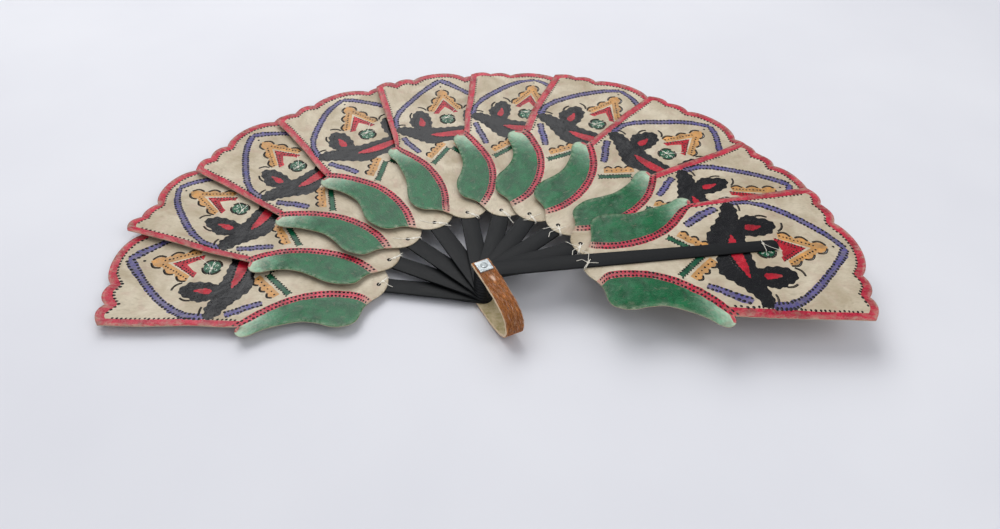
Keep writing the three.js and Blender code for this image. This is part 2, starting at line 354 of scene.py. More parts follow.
def paint_chevrons(pattern, side):
    """The pair of short strips, green and amber, that point at the stick."""
    flip = for_half(side)
    green = smooth(GREEN_STRIP, 1.5)
    amber = smooth(AMBER_STRIP, 1.5)
    pattern.paint(flip(ribbon(green, 1.6, 1.6)), DARK_GREEN)
    edge = scallops(beside(amber, 2.1), 3, 1.4)
    pattern.paint(flip(np.concatenate([edge, beside(amber, -2.4)[::-1]])), AMBER)
    pattern.prick(flip(spaced(beside(green, -1.7), 1.9)), 0.4)
    pattern.prick(flip(spaced(beside(green, 1.7), 1.9)), 0.4)
    pattern.prick(flip(spaced(amber, 3.2, 2, 2)), 0.38)
    rim = spaced(beside(amber, 2.5), 7.6)
    for first, last in zip(rim, rim[1:]):
        pattern.cut(flip(crescent(first + (last - first) * 0.14, last - (last - first) * 0.14, 1.7, 0.95)))


def paint_flame(pattern, side):
    """Half of the flame: amber edging with scallops and crescent cuts, and an arm of the red arrowhead."""
    flip = for_half(side)
    base, tip = np.array(FLAME_BASE, float), np.array(FLAME_TIP, float)
    edge = scallops(np.array([tip, base]), 3, -1.6)
    inner = np.array([[base[0] - 0.5, base[1] - 4], [tip[0] - 10.5, 0]])
    pattern.paint(flip(np.concatenate([edge, inner])), AMBER)
    pattern.paint(flip([(191.5, -0.05), (174.8, 9.6), (174.3, 5.5), (177, 4.5), (182.5, -0.05)]), INSERT_RED)
    for share in (0.2, 0.8):
        row = np.array([(175.6 + share, 9.4 - 3.8 * share), (190.2 - 6.4 * share, 0.9 + 0.3 * share)])
        pattern.prick(flip(spaced(row, 1.9)), 0.38)
    pattern.prick(flip(spaced(np.array([(178.8, 10.8), (196.5, 1.8)]), 2.1)), 0.4)
    rim = spaced(np.array([base + [-0.8, 0.6], tip + [0.6, 0.6]]), 9.4)
    for first, last in zip(rim, rim[1:]):
        pattern.cut(flip(crescent(first + (last - first) * 0.1, last - (last - first) * 0.16, 1.9, 1.3)))


def paint_rosette(pattern):
    """The green rosette, pierced with petals and ringed with cuts; the outer tie crosses it."""
    pattern.paint(circle(ROSETTE, ROSETTE_RADIUS, 24), DARK_GREEN)
    centre = np.array(ROSETTE, float)
    for k in range(6):
        angle = (k + 0.5) / 6 * math.tau
        way = np.array([math.cos(angle), math.sin(angle)])
        side = np.array([-way[1], way[0]])
        petal = np.array([centre + way * 1.2, centre + way * 2.9 + side * 0.9, centre + way * 4.3,
                          centre + way * 2.9 - side * 0.9])
        pattern.paint(petal, PETAL)
        pattern.holes.append(centre + (petal - centre) * [0.62, 0.62] + way * 1.0)
    for k in range(4):
        middle = k / 4 * math.tau + 0.78
        ends = [centre + 5.7 * np.array([math.cos(middle + s), math.sin(middle + s)]) for s in (0.58, -0.58)]
        pattern.cut(crescent(ends[0], ends[1], 1.0, 1.3))


def paint_black(pattern):
    """The black bar across the stick, its wings, and the red set into them."""
    left = smooth(BAR, 1.1)
    bar = np.concatenate([left, mirror(left[1:-1][::-1])])
    for side in (1, -1):
        flip = for_half(side)
        wing = smooth(WING, 1.1, closed=True)
        pattern.paint(flip(beside(wing, 0.45 * np.sin(np.arange(len(wing)) * 1.3))), BLACK)
    pattern.paint(beside(bar, 0.45 * np.sin(np.arange(len(bar)) * 1.3)), BLACK)
    stripe = smooth(STRIPE, 1.0, closed=True)
    pattern.paint(beside(stripe, 0.3 * np.sin(np.arange(len(stripe)) * 2.4)), INSERT_RED)
    pattern.prick(spaced(smooth([(148.2, 13), (146.1, 8), (145.4, 0), (146, -8), (148.6, -15)]), 1.9), 0.5)
    pattern.prick(spaced(smooth([(151.6, 12), (152.6, 4), (153.4, -4), (153.2, -12)]), 2.0), 0.42)
    for side in (1, -1):
        flip = for_half(side)
        insert = smooth(WING_INSERT, 1.0, closed=True)
        pattern.paint(flip(beside(insert, 0.25 * np.sin(np.arange(len(insert)) * 2.4))), INSERT_RED)
        pattern.prick(flip(spaced(smooth([(143.8, 21.5), (148.3, 29), (152.6, 36.5)]), 2.4)), 0.42)
        pattern.prick(flip(spaced(smooth([(158.6, 36), (157.8, 29), (156.6, 22)]), 2.6)), 0.38)
        pattern.prick(flip(spaced(smooth([(161.5, 25.4), (168, 24.4), (174.5, 21)]), 2.5)), 0.38)
        pattern.prick(flip(spaced(smooth([(161, 14.3), (168, 14), (174.5, 16.4)]), 2.5)), 0.38)
        pattern.cut(flip(crescent((179.2, 14.4), (183.4, 20.8), -1.3, 1.1)))
        pattern.cut(flip(crescent((170, 27.6), (176.6, 26), 0.8, 0.9)))
        pattern.cut(flip(crescent((160.9, 38.6), (161.8, 32), 0.7, 0.9)))


def draw_pattern():
    pattern = Pattern(11)
    for side in (1, -1):
        paint_borders(pattern, side)
        paint_blue(pattern, side)
        paint_chevrons(pattern, side)
        paint_flame(pattern, side)
    paint_rosette(pattern)
    paint_black(pattern)
    pattern.prick([(208.5, 0.4)], 0.5)
    pattern.cut(circle(INNER_TIE_HOLE, TIE_HOLE_RADIUS, 12))
    for side in (1, -1):
        pattern.cut(circle((OUTER_TIE_X, side * OUTER_TIE_Y), TIE_HOLE_RADIUS * 0.6, 10))
    return pattern


# ---- The leaf as a net of triangles


def inside(points, outline):
    """Which points lie inside an outline."""
    found = np.zeros(len(points), bool)
    low, high = outline.min(0), outline.max(0)
    near = np.flatnonzero(((points >= low) & (points <= high)).all(1))
    x, y = points[near, 0], points[near, 1]
    hits = np.zeros(len(near), bool)
    for (ax, ay), (bx, by) in zip(outline, np.roll(outline, -1, 0)):
        if ay != by:
            crosses = (ay > y) != (by > y)
            hits ^= crosses & (x < (bx - ax) * (y - ay) / (by - ay) + ax)
    found[near[hits]] = True
    return found


def grid_points(outline, spacing=2.6):
    """Loose points over the leaf, so that it can bend."""
    random = np.random.default_rng(5)
    low, high = outline.min(0), outline.max(0)
    rows = np.arange(low[1], high[1], spacing * 0.87)
    columns = np.arange(low[0], high[0], spacing)
    spots = [(x + (k % 2) * spacing / 2, y) for k, y in enumerate(rows) for x in columns]
    spots = np.array(spots) + random.uniform(-0.35, 0.35, (len(spots), 2))
    return spots[inside(spots, outline)]


def triangulate(pattern):
    """The flat net: its points, its triangles and each triangle's paint."""
    outline = leaf_outline()
    points, edges = [], []
    for loop in [outline, ARROWHEAD, *pattern.holes, *pattern.shade_rings, *(area for area, _ in pattern.areas)]:
        start = len(points)
        points.extend(loop)
        edges.extend((start + k, start + (k + 1) % len(loop)) for k in range(len(loop)))
    points.extend(grid_points(outline))
    made = delaunay_2d_cdt([Vector(p) for p in points], edges, [], 0, 1e-4, False)
    spots = np.array([tuple(v) for v in made[0]])
    triangles = np.array(made[2])
    middles = spots[triangles].mean(1)
    keep = inside(middles, outline)
    for hole in pattern.holes:
        keep &= ~inside(middles, hole)
    triangles, middles = triangles[keep], middles[keep]
    paints = np.tile(np.array(BARE), (len(triangles), 1))
    for area, paint in pattern.areas:
        paints[inside(middles, area)] = paint
    # Rings of painted shade round the pricked holes and cut slots.
    for shade_ring in pattern.shade_rings:
        paints[inside(middles, shade_ring)] = HOLE_SHADE
    used = np.unique(triangles)
    renumber = np.full(len(spots), -1)
    renumber[used] = np.arange(len(used))
    return spots[used], renumber[triangles], paints


def rim_edges(triangles):
    """The directed edges that belong to one triangle only: the outline and the holes."""
    edges = np.concatenate([triangles[:, [0, 1]], triangles[:, [1, 2]], triangles[:, [2, 0]]])
    keys = edges.min(1) * (triangles.max() + 1) + edges.max(1)
    _, first, count = np.unique(keys, return_index=True, return_counts=True)
    return edges[first[count == 1]]


def worn_paints(paints, middles):
    """The paints, with the lobes worn pale at their tips and the red bands washed out at their inner ends."""
    reach = np.clip((middles[:, 0] - 108) / 23, 0, 1)[:, None] ** 2.6
    is_lobe = (np.abs(paints[:, 1] - GREEN[1]) < 1e-6)[:, None]
    worn = np.where(is_lobe, paints * (1 - reach) + np.array(PALE_TIP) * reach, paints)
    is_red = np.abs(paints[:, 0] - RED[0]) < 1e-6
    worn[:, 3] *= np.where(is_red, 1 - 0.6 * ease(middles[:, 0], 76, 64), 1)
    return worn


def ease(value, low, high):
    """Rises smoothly from 0 at low to 1 at high, or falls where low is the larger."""
    share = np.clip((value - low) / (high - low), 0, 1)
    return share * share * (3 - 2 * share)


def shift_motif(x, y, index):
    """Moves a leaf's motif by its own small error, and draws out a stretched corner."""
    hold = ease(np.abs(y), 46, 35) * ease(x, 62, 76) * ease(x, 217, 206)
    near = ease(x, 150, 136)
    chevron, motif = CHEVRON_SHIFTS.get(index, (0, 0)), MOTIF_SHIFTS.get(index, (0, 0))
    out, across = (near * a + (1 - near) * b for a, b in zip(chevron, motif))
    pull = CORNER_PULLS.get(index, 0) * ease(x, 165, 212) * ease(y, 22, 51)
    return x + out * hold + pull, y + across * hold


def rim_distance(points):
    """How far each point lies from the leaf's outline."""
    start = leaf_outline()
    run = np.roll(start, -1, 0) - start
    along = ((points[:, None] - start) * run).sum(2) / (run**2).sum(1)
    nearest = start + np.clip(along, 0, 1)[:, :, None] * run
    return np.linalg.norm(points[:, None] - nearest, axis=2).min(1)


def wave(x, y, seed, scale):
    return noise.noise(Vector((x * scale, y * scale, seed * 13.7)))


def leaf_height(x, y, seed):
    """How far the hide rises from flat: the left edge lifts, the right edge sinks, and all of it cockles."""
    free = min(max((abs(y) - 7) / 40, 0), 1)
    free = free * free * (3 - 2 * free)
    tilt = 1.5 if y > 0 else -0.8
    return free * (tilt + 0.6 * wave(x, y, seed, 0.03) + 0.35 * wave(x, y, seed + 50, 0.08))


PATTERN = draw_pattern()
SPOTS, TRIANGLES, PAINTS = triangulate(PATTERN)
RIM = rim_edges(TRIANGLES)
PAINTS = worn_paints(PAINTS, SPOTS[TRIANGLES].mean(1))
RIM_SHARE = ease(rim_distance(SPOTS), 0, RIM_WEAR)
IN_ARROWHEAD = inside(SPOTS[TRIANGLES].mean(1), np.array(ARROWHEAD, float)) & (PAINTS[:, 3] == BARE[3])


def direction(node):
    """The angle of a stick, from the furthest point of its CAD node."""
    places = np.array([tuple(v.co) for v in NODES[node].data.vertices])
    far = places[np.argmax(np.hypot(places[:, 0], places[:, 1]))]
    return math.atan2(far[1], far[0])


def stick_name(index):
    return {0: "rear_guard", COUNT - 1: "front_guard"}.get(index, f"stick_{index + 1:02d}")


def body_name(index):
    return {0: "rear_blade", COUNT - 1: "front_blade"}.get(index, f"blade_{index + 1:02d}")


def linked(thing):
    bpy.context.scene.collection.objects.link(thing)
    return thing


def store(mesh, name, kind, domain, values):
    """Gives a mesh an attribute, with one row of values for each of its points or corners."""
    layer = mesh.attributes.new(name, kind, domain)
    field = {"FLOAT": "value", "FLOAT_VECTOR": "vector", "FLOAT_COLOR": "color"}[kind]
    layer.data.foreach_set(field, np.asarray(values).astype(np.float32).ravel())


def new_object(name, mesh, material, body, node):
    """Links a piece, gives it its material, and lets it stand for its CAD node."""
    piece = linked(bpy.data.objects.new(name, mesh))
    for one in material if isinstance(material, list) else [material]:
        mesh.materials.append(one)
    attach(piece, body)
    if node:
        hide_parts(node)
    return piece


def make_leaf(index, material):
    """One leaf, cut by the pattern, stretched by hand, cockled, and laid on its stick."""
    node = f"leaf_{index + 1:02d}"
    width, length, turn = LEAF_WIDTHS[index], LEAF_LENGTHS[index], math.radians(LEAF_TURNS[index])
    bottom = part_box(node)[0].z / MM
    x, y = shift_motif(SPOTS[:, 0], SPOTS[:, 1], index)
    x = TIE_X + (x - TIE_X) * length
    y = y * width
    wander = np.array([(wave(a, b, index, 0.035), wave(a, b, index + 30, 0.035)) for a, b in zip(x, y)])
    hold = np.clip(np.abs(y) / 25, 0, 1)
    x, y = x + wander[:, 0] * hold * 1.3, y + wander[:, 1] * hold * 1.3
    rise = np.array([leaf_height(a, b, index) for a, b in zip(SPOTS[:, 0], SPOTS[:, 1])])
    angle = direction(stick_name(index)) + turn
    across, along = math.sin(angle), math.cos(angle)
    flat = np.stack([x * along - y * across, x * across + y * along], 1)
    low = np.column_stack([flat, bottom + rise])
    high = np.column_stack([flat, bottom + rise + LEAF_THICKNESS])
    count = len(SPOTS)
    walls = np.concatenate([
        np.stack([RIM[:, 1], RIM[:, 0], RIM[:, 0] + count], 1),
        np.stack([RIM[:, 1], RIM[:, 0] + count, RIM[:, 1] + count], 1),
    ])
    faces = np.concatenate([TRIANGLES + count, TRIANGLES[:, ::-1], walls])
    mesh = bpy.data.meshes.new(node)
    mesh.vertices.add(2 * count)
    mesh.vertices.foreach_set("co", (np.concatenate([low, high]) * MM).astype(np.float32).ravel())
    mesh.loops.add(faces.size)
    mesh.loops.foreach_set("vertex_index", faces.astype(np.int32).ravel())
    mesh.polygons.add(len(faces))
    mesh.polygons.foreach_set("loop_start", (np.arange(len(faces)) * 3).astype(np.int32))
    mesh.update(calc_edges=True)
    mesh.validate()
    paints = PAINTS.copy()
    if index in FILLED_ARROWHEADS:
        paints[IN_ARROWHEAD] = INSERT_RED
    seen_through = paints.copy()
    seen_through[:, 3] *= 0.45
    # The walls of holes and slots are painted dark as painted shade; the walls of the outline get the colour
    # of a cut edge.
    on_hole = np.abs(SPOTS[RIM[:, 0]] - SPOTS[RIM[:, 1]]).max(1) < 0.75
    wall = np.where(on_hole[:, None], np.array(HOLE_SHADE), np.array(CUT_EDGE))
    paint = np.concatenate([paints, seen_through, wall, wall])
    store(mesh, "paint", "FLOAT_COLOR", "CORNER", np.repeat(paint, 3, axis=0))
    store(mesh, "rim", "FLOAT", "POINT", np.concatenate([RIM_SHARE, RIM_SHARE]))
    local = np.column_stack([SPOTS, np.full(count, index * SEED_STEP)])
    store(mesh, "pattern", "FLOAT_VECTOR", "POINT", np.concatenate([local, local]))
    return new_object(node + "_hide", mesh, material, body_name(index), node)


# ---- Materials


class Shader:
    """A material's node tree, with short names for the nodes that are used here."""

    def __init__(self, name):
        self.material = bpy.data.materials.new(name)
        self.material.use_nodes = True
        self.tree = self.material.node_tree
        self.surface = self.tree.nodes["Principled BSDF"]

    def node(self, kind, **settings):
        made = self.tree.nodes.new(kind)
        for name, value in settings.items():
            setattr(made, name, value)
        return made

    def link(self, source, target):
        self.tree.links.new(source, target)

    def put(self, socket, value):
        """Links a socket, or sets its value."""
        if isinstance(value, bpy.types.NodeSocket):
            self.link(value, socket)
        else:
            socket.default_value = value

    def attribute(self, name):
        return self.node("ShaderNodeAttribute", attribute_name=name)

    def scaled(self, vector, scale):
        mapping = self.node("ShaderNodeMapping")
        self.link(vector, mapping.inputs["Vector"])
        mapping.inputs["Scale"].default_value = scale
        return mapping.outputs["Vector"]

    def noise(self, vector, scale, detail=3.0, rough=0.55, distortion=0.0):
        made = self.node("ShaderNodeTexNoise")
        self.link(vector, made.inputs["Vector"])
        made.inputs["Scale"].default_value = scale
        made.inputs["Detail"].default_value = detail
        made.inputs["Roughness"].default_value = rough
        made.inputs["Distortion"].default_value = distortion
        return made.outputs["Fac"]

    def span(self, value, low, high, to_low, to_high):
        """A value from low to high becomes one from to_low to to_high."""
        made = self.node("ShaderNodeMapRange")
        self.link(value, made.inputs["Value"])
        for name, number in zip(("From Min", "From Max", "To Min", "To Max"), (low, high, to_low, to_high)):
            made.inputs[name].default_value = number
        return made.outputs["Result"]

    def math(self, operation, a, b):
        made = self.node("ShaderNodeMath", operation=operation)
        self.put(made.inputs[0], a)
        self.put(made.inputs[1], b)
        return made.outputs[0]

    def mix(self, share, a, b, blend="MIX"):
        made = self.node("ShaderNodeMix", data_type="RGBA", blend_type=blend)
        self.put(made.inputs["Factor"], share)
        self.put(made.inputs["A"], a)
        self.put(made.inputs["B"], b)
        return made.outputs["Result"]

    def bump(self, height, strength, distance, before=None):
        made = self.node("ShaderNodeBump")
        self.put(made.inputs["Height"], height)
        made.inputs["Strength"].default_value = strength
        made.inputs["Distance"].default_value = distance
        if before is not None:
            self.link(before, made.inputs["Normal"])
        return made.outputs["Normal"]

    def finish(self, base, rough, normal=None, **sockets):
        self.put(self.surface.inputs["Base Color"], base)
        self.put(self.surface.inputs["Roughness"], rough)
        if normal is not None:
            self.link(normal, self.surface.inputs["Normal"])
        for name, value in sockets.items():
            self.surface.inputs[name.replace("_", " ")].default_value = value
        return self.material


def hide_material():
    """Painted hide: mottled parchment under glossy water-colour, thin in places and rubbed at its rim."""
    s = Shader("painted_hide")
    place = s.attribute("pattern").outputs["Vector"]
    paint = s.attribute("paint")
    rim = s.attribute("rim").outputs["Fac"]
    mottle = s.noise(place, 0.045, 4, 0.6, 0.6)
    cloud = s.noise(place, 0.13, 4, 0.6, 0.5)
    brush_marks = s.noise(s.scaled(place, (0.5, 1.0, 1.0)), 0.42, 5, 0.62, 0.8)
    fine = s.noise(place, 1.3, 6, 0.7)
    fibre = s.noise(s.scaled(place, (0.35, 1.6, 1.0)), 0.9, 4, 0.6, 0.4)
    bare = s.mix(s.span(mottle, 0.32, 0.68, 0, 1), colour(178, 162, 134), colour(220, 208, 184))
    bare = s.mix(s.span(cloud, 0.52, 0.75, 0, 0.5), bare, colour(190, 156, 140))
    bare = s.mix(s.span(brush_marks, 0.3, 0.46, 0.35, 0), bare, colour(150, 140, 116))
    bare = s.mix(s.span(fibre, 0.3, 0.7, 0.22, 0), bare, colour(140, 124, 100))
    washes = s.span(cloud, 0.3, 0.7, 0.55, 1.3)
    strength = s.math("MULTIPLY", washes, s.span(brush_marks, 0.3, 0.7, 0.85, 1.12))
    tinted = s.mix(1.0, paint.outputs["Color"], strength, "MULTIPLY")
    not_black = s.span(paint.outputs["Alpha"], 1.2, 1.5, 1, 0.3)
    scuff = s.math("MULTIPLY", s.span(brush_marks, 0.6, 0.76, 0, 0.16), not_black)
    tinted = s.mix(scuff, tinted, colour(178, 206, 184))
    rubbed = s.span(brush_marks, 0.35, 0.6, 0.55, 0.12)
    edge_wear = s.math("MULTIPLY", s.math("SUBTRACT", 1.0, rim), rubbed)
    tinted = s.mix(edge_wear, tinted, colour(176, 186, 158))
    worn = s.span(fine, 0.38, 0.62, 1.0, 0.9)
    thin = s.span(brush_marks, 0.3, 0.56, 0.7, 1.0)
    cover = s.math("MULTIPLY", s.math("MULTIPLY", paint.outputs["Alpha"], worn), thin)
    cover = s.math("MINIMUM", cover, 1.0)
    base = s.mix(cover, bare, tinted)
    rough = s.math("ADD", s.span(fine, 0.3, 0.7, 0.34, 0.5), s.math("MULTIPLY", cover, -0.14))
    normal = s.bump(s.noise(place, 0.13, 2, 0.5), 0.5, 0.0009)
    normal = s.bump(brush_marks, 0.2, 0.0003, normal)
    normal = s.bump(fine, 0.12, 0.00015, normal)
    return s.finish(base, rough, normal, Specular_IOR_Level=0.3)


def stick_material():
    """Black horn, polished by hands, with a faint grain along each stick and paler rubbed flecks."""
    s = Shader("black_stick")
    place = s.attribute("pattern").outputs["Vector"]
    grain = s.noise(s.scaled(place, (0.08, 2.2, 1.0)), 1.0, 5, 0.6, 0.2)
    fine = s.noise(place, 0.9, 5, 0.65)
    base = s.mix(s.span(grain, 0.3, 0.7, 0, 1), colour(8, 9, 10), colour(17, 19, 21))
    base = s.mix(s.span(fine, 0.6, 0.8, 0, 0.25), base, colour(70, 69, 66))
    rough = s.span(grain, 0.3, 0.7, 0.42, 0.58)
    normal = s.bump(grain, 0.25, 0.0002)
    return s.finish(base, rough, normal, Specular_IOR_Level=0.2)


def thread_material():
    s = Shader("linen_thread")
    place = s.node("ShaderNodeTexCoord").outputs["Object"]
    fuzz = s.noise(place, 2500, 4, 0.7)
    base = s.mix(s.span(fuzz, 0.3, 0.7, 0, 1), colour(222, 214, 194), colour(252, 248, 238))
    return s.finish(base, s.span(fuzz, 0.3, 0.7, 0.8, 0.95), s.bump(fuzz, 0.5, 0.0001))


def hair_material():
    """Short brown hair that lies along the strap, with rubbed, redder and darker locks, and pale orange hairs
    that are partly their own colour and partly painted highlight.
    """
    s = Shader("hair_side")
    place = s.attribute("pattern").outputs["Vector"]
    lock = s.noise(s.scaled(place, (0.12, 0.9, 1.0)), 1.0, 4, 0.6, 0.6)
    hair = s.noise(s.scaled(place, (0.5, 7.0, 1.0)), 1.0, 5, 0.7, 0.3)
    patch = s.attribute("bald").outputs["Fac"]
    base = s.mix(s.span(lock, 0.4, 0.6, 0, 1), colour(118, 58, 22), colour(206, 124, 58))
    # Pale orange hairs: partly the hair's own colour, partly painted highlight.
    base = s.mix(s.span(hair, 0.5, 0.62, 0, 0.8), base, colour(244, 184, 112))
    base = s.mix(s.span(hair, 0.34, 0.46, 0.85, 0), base, colour(52, 24, 10))
    base = s.mix(patch, base, colour(236, 210, 190))
    return s.finish(base, s.span(hair, 0.3, 0.7, 0.5, 0.75), s.bump(hair, 0.8, 0.0005))


def flesh_material():
    """The strap's flesh side: cream hide with yellow-green stains, and its pale cut edge."""
    s = Shader("flesh_side")
    place = s.attribute("pattern").outputs["Vector"]
    stain = s.noise(place, 0.16, 5, 0.65, 0.5)
    nap = s.noise(place, 1.8, 5, 0.7)
    base = s.mix(s.span(stain, 0.35, 0.65, 0, 1), colour(226, 206, 168), colour(176, 158, 104))
    base = s.mix(s.span(nap, 0.45, 0.75, 0, 0.5), base, colour(236, 224, 196))
    return s.finish(base, 0.8, s.bump(nap, 0.5, 0.0003))


def edge_material():
    s = Shader("cut_edge")
    place = s.attribute("pattern").outputs["Vector"]
    nap = s.noise(place, 1.2, 5, 0.7)
    base = s.mix(s.span(nap, 0.3, 0.7, 0, 1), colour(214, 180, 138), colour(240, 222, 192))
    return s.finish(base, s.span(nap, 0.3, 0.7, 0.7, 0.9), s.bump(nap, 0.5, 0.0003))


def metal_material():
    """Pale tinned metal, dulled and scratched, with grime where it was hammered."""
    s = Shader("pale_metal")
    place = s.attribute("pattern").outputs["Vector"]
    cloud = s.noise(place, 0.35, 5, 0.65, 0.5)
    scratch = s.noise(s.scaled(place, (0.6, 9.0, 1.0)), 1.0, 4, 0.7)
    base = s.mix(s.span(cloud, 0.35, 0.65, 0, 1), colour(150, 158, 160), colour(212, 217, 217))
    base = s.mix(s.attribute("bald").outputs["Fac"], base, colour(96, 98, 96))
    rough = s.span(scratch, 0.3, 0.7, 0.32, 0.58)
    return s.finish(base, rough, s.bump(scratch, 0.4, 0.0002), Metallic=0.55)


# ---- Sticks


def skin(made, rows):
    """Faces round rows of points, each row in order round a tube, and a face on both ends."""
    for a, b in zip(rows, rows[1:]):
        for k in range(len(a)):
            following = (k + 1) % len(a)
            made.faces.new((a[k], a[following], b[following], b[k]))
    made.faces.new(rows[0][::-1])
    made.faces.new(rows[-1])


def finished(made, name, turn=None):
    """The mesh of a bmesh that is done with, turned if need be."""
    mesh = bpy.data.meshes.new(name)
    made.to_mesh(mesh)
    made.free()
    if turn is not None:
        mesh.transform(turn)
    return mesh


def half_width(x):
    """Half of a stick's width at a distance from the pivot."""
    head, tip = HEAD_WIDTH / 2, TIP_WIDTH / 2
    if x < 0:
        return math.sqrt(max(head * head - x * x, 0))
    if x > STICK_TIP - tip:
        return tip * max(1 - ((x - STICK_TIP + tip) / tip) ** 3.2, 0) ** (1 / 3.2)
    share = max(x - BLADE_START, 0) / (STICK_TIP - tip - BLADE_START)
    return head + (tip - head) * share


def stations():
    """Where a stick's cross-sections lie: close together round its two ends."""
    head, tip = HEAD_WIDTH / 2, TIP_WIDTH / 2
    round_head = [-head * math.cos(a) for a in np.linspace(0.12, math.pi / 2, 14)]
    slope = [2, 5, HEAD_RADIUS + 1, 11, 14, 17, BLADE_START]
    blade = list(np.linspace(BLADE_START + 8, STICK_TIP - tip, 16))
    round_tip = [STICK_TIP - tip + tip * math.sin(a) for a in np.linspace(0.15, math.pi / 2 - 0.07, 12)]
    return round_head + slope + blade + round_tip


def stick_section(x, thickness, ease):
    """A cross-section with eased corners, as (across, up) pairs."""
    half = half_width(x)
    rise = np.interp(x, [HEAD_RADIUS + 1, BLADE_START], [0, thickness - BLADE_THICKNESS])
    ease = min(ease, half * 0.6)
    low, high = rise, thickness
    soft = ease * 0.3
    return [(-half, low + ease), (-half + soft, low + soft), (-half + ease, low), (half - ease, low),
            (half - soft, low + soft), (half, low + ease), (half, high - ease), (half - soft, high - soft),
            (half - ease, high), (-half + ease, high), (-half + soft, high - soft), (-half, high - ease)]


def drill(centre, radius, height):
    """A round post for a boolean cut."""
    cutter = bmesh.new()
    bmesh.ops.create_cone(cutter, cap_ends=True, segments=40, radius1=radius * MM, radius2=radius * MM,
                          depth=height * MM)
    mesh = finished(cutter, "drill", Matrix.Translation(Vector(centre) * MM))
    return linked(bpy.data.objects.new("drill", mesh))


def cut_and_apply(mesh, posts):
    """The mesh with each post cut out of it."""
    holder = linked(bpy.data.objects.new("blank", mesh))
    for post in posts:
        cut = holder.modifiers.new("cut", "BOOLEAN")
        cut.operation, cut.solver, cut.object = "DIFFERENCE", "EXACT", post
    graph = bpy.context.evaluated_depsgraph_get()
    result = bpy.data.meshes.new_from_object(holder.evaluated_get(graph))
    for thing in [holder, *posts]:
        bpy.data.objects.remove(thing)
    return result


def give_pattern(mesh, seed, bald=None):
    """Stores each point's place in millimetres, and how bare it is, for the material."""
    places = np.array([tuple(v.co) for v in mesh.vertices]) / MM
    store(mesh, "pattern", "FLOAT_VECTOR", "POINT", places + [0, 0, seed * SEED_STEP])
    if bald is not None:
        store(mesh, "bald", "FLOAT", "POINT", [bald(p) for p in places])


def shade_smooth(mesh, limit=35):
    """Smooth shading, with the edges that turn more than the limit kept sharp."""
    mesh.shade_smooth()
    mesh.set_sharp_from_angle(angle=math.radians(limit))


def make_stick(index, material):
    """A slim stick: thick round head on the rivet, thin blade, eased corners, and its two drilled holes."""
    node = stick_name(index)
    low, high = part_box(node)
    thickness = (high.z - low.z) / MM
    rings = [[Vector((x, y, z)) * MM for y, z in stick_section(x, thickness, 0.32)] for x in stations()]
    made = bmesh.new()
    skin(made, [[made.verts.new(p) for p in ring] for ring in rings])
    bmesh.ops.recalc_face_normals(made, faces=made.faces)
    posts = [drill((0, 0, 0), RIVET_HOLE_RADIUS, 20), drill((*INNER_TIE_HOLE, 0), TIE_HOLE_RADIUS, 20)]
    mesh = cut_and_apply(finished(made, node), posts)
    mesh.name = node
    give_pattern(mesh, index)
    mesh.transform(Matrix.Translation((0, 0, low.z)) @ Matrix.Rotation(direction(node), 4, "Z"))
    shade_smooth(mesh, 50)
    return new_object(node + "_horn", mesh, material, body_name(index), node)


# ---- Ties


def strand_rings(path, radius, turns, phase, sides=5, spread=0.8):
    """Rings of one of the two plies of a twisted thread that follows a path of points."""
    rings = []
    count = len(path)
    up_before = Vector((0, 0, 1))
    for k, place in enumerate(path):
        ahead = (path[min(k + 1, count - 1)] - path[max(k - 1, 0)]).normalized()
        side = ahead.cross(up_before)
        if side.length < 1e-6:
            side = ahead.orthogonal()
        side.normalize()
        up = side.cross(ahead).normalized()
        up_before = up
        twist = phase + math.tau * turns * k / count
        centre = place + (side * math.cos(twist) + up * math.sin(twist)) * radius * spread
        taper = 0.45 if k in (0, count - 1) else 1.0
        ring = [centre + (side * math.cos(a) + up * math.sin(a)) * radius * taper
                for a in np.arange(sides) / sides * math.tau]
        rings.append(ring)
    return rings


def round_corners(points, step=0.35, passes=4):
    """A path through the points with its corners eased."""
    dense = [Vector(points[0])]
    for a, b in zip(points, points[1:]):
        a, b = Vector(a), Vector(b)
        pieces = max(2, round((b - a).length / step))
        dense += [a.lerp(b, (k + 1) / pieces) for k in range(pieces)]
    for _ in range(passes):
        middle = [(p + q * 2 + r) / 4 for p, q, r in zip(dense, dense[1:], dense[2:])]
        dense = [dense[0], *middle, dense[-1]]
    return dense


def add_thread(made, points, radius=0.15, step=0.35):
    """A two-ply thread along a path, joined to a bmesh, in millimetres."""
    path = round_corners(points, step)
    length = sum((b - a).length for a, b in zip(path, path[1:]))
    for phase in (0, math.pi):
        rings = strand_rings(path, radius, length / 1.1, phase)
        skin(made, [[made.verts.new(p * MM) for p in ring] for ring in rings])


def knot_path(centre, size):
    """A small overhand knot, as a trefoil lying on the leaf."""
    points = []
    for t in np.linspace(0, math.tau, 40):
        x = math.sin(t) + 2 * math.sin(2 * t)
        y = math.cos(t) - 2 * math.cos(2 * t)
        z = -math.sin(3 * t)
        points.append(Vector(centre) + Vector((x * size, y * size, (z + 1) * size * 0.5)))
    return points


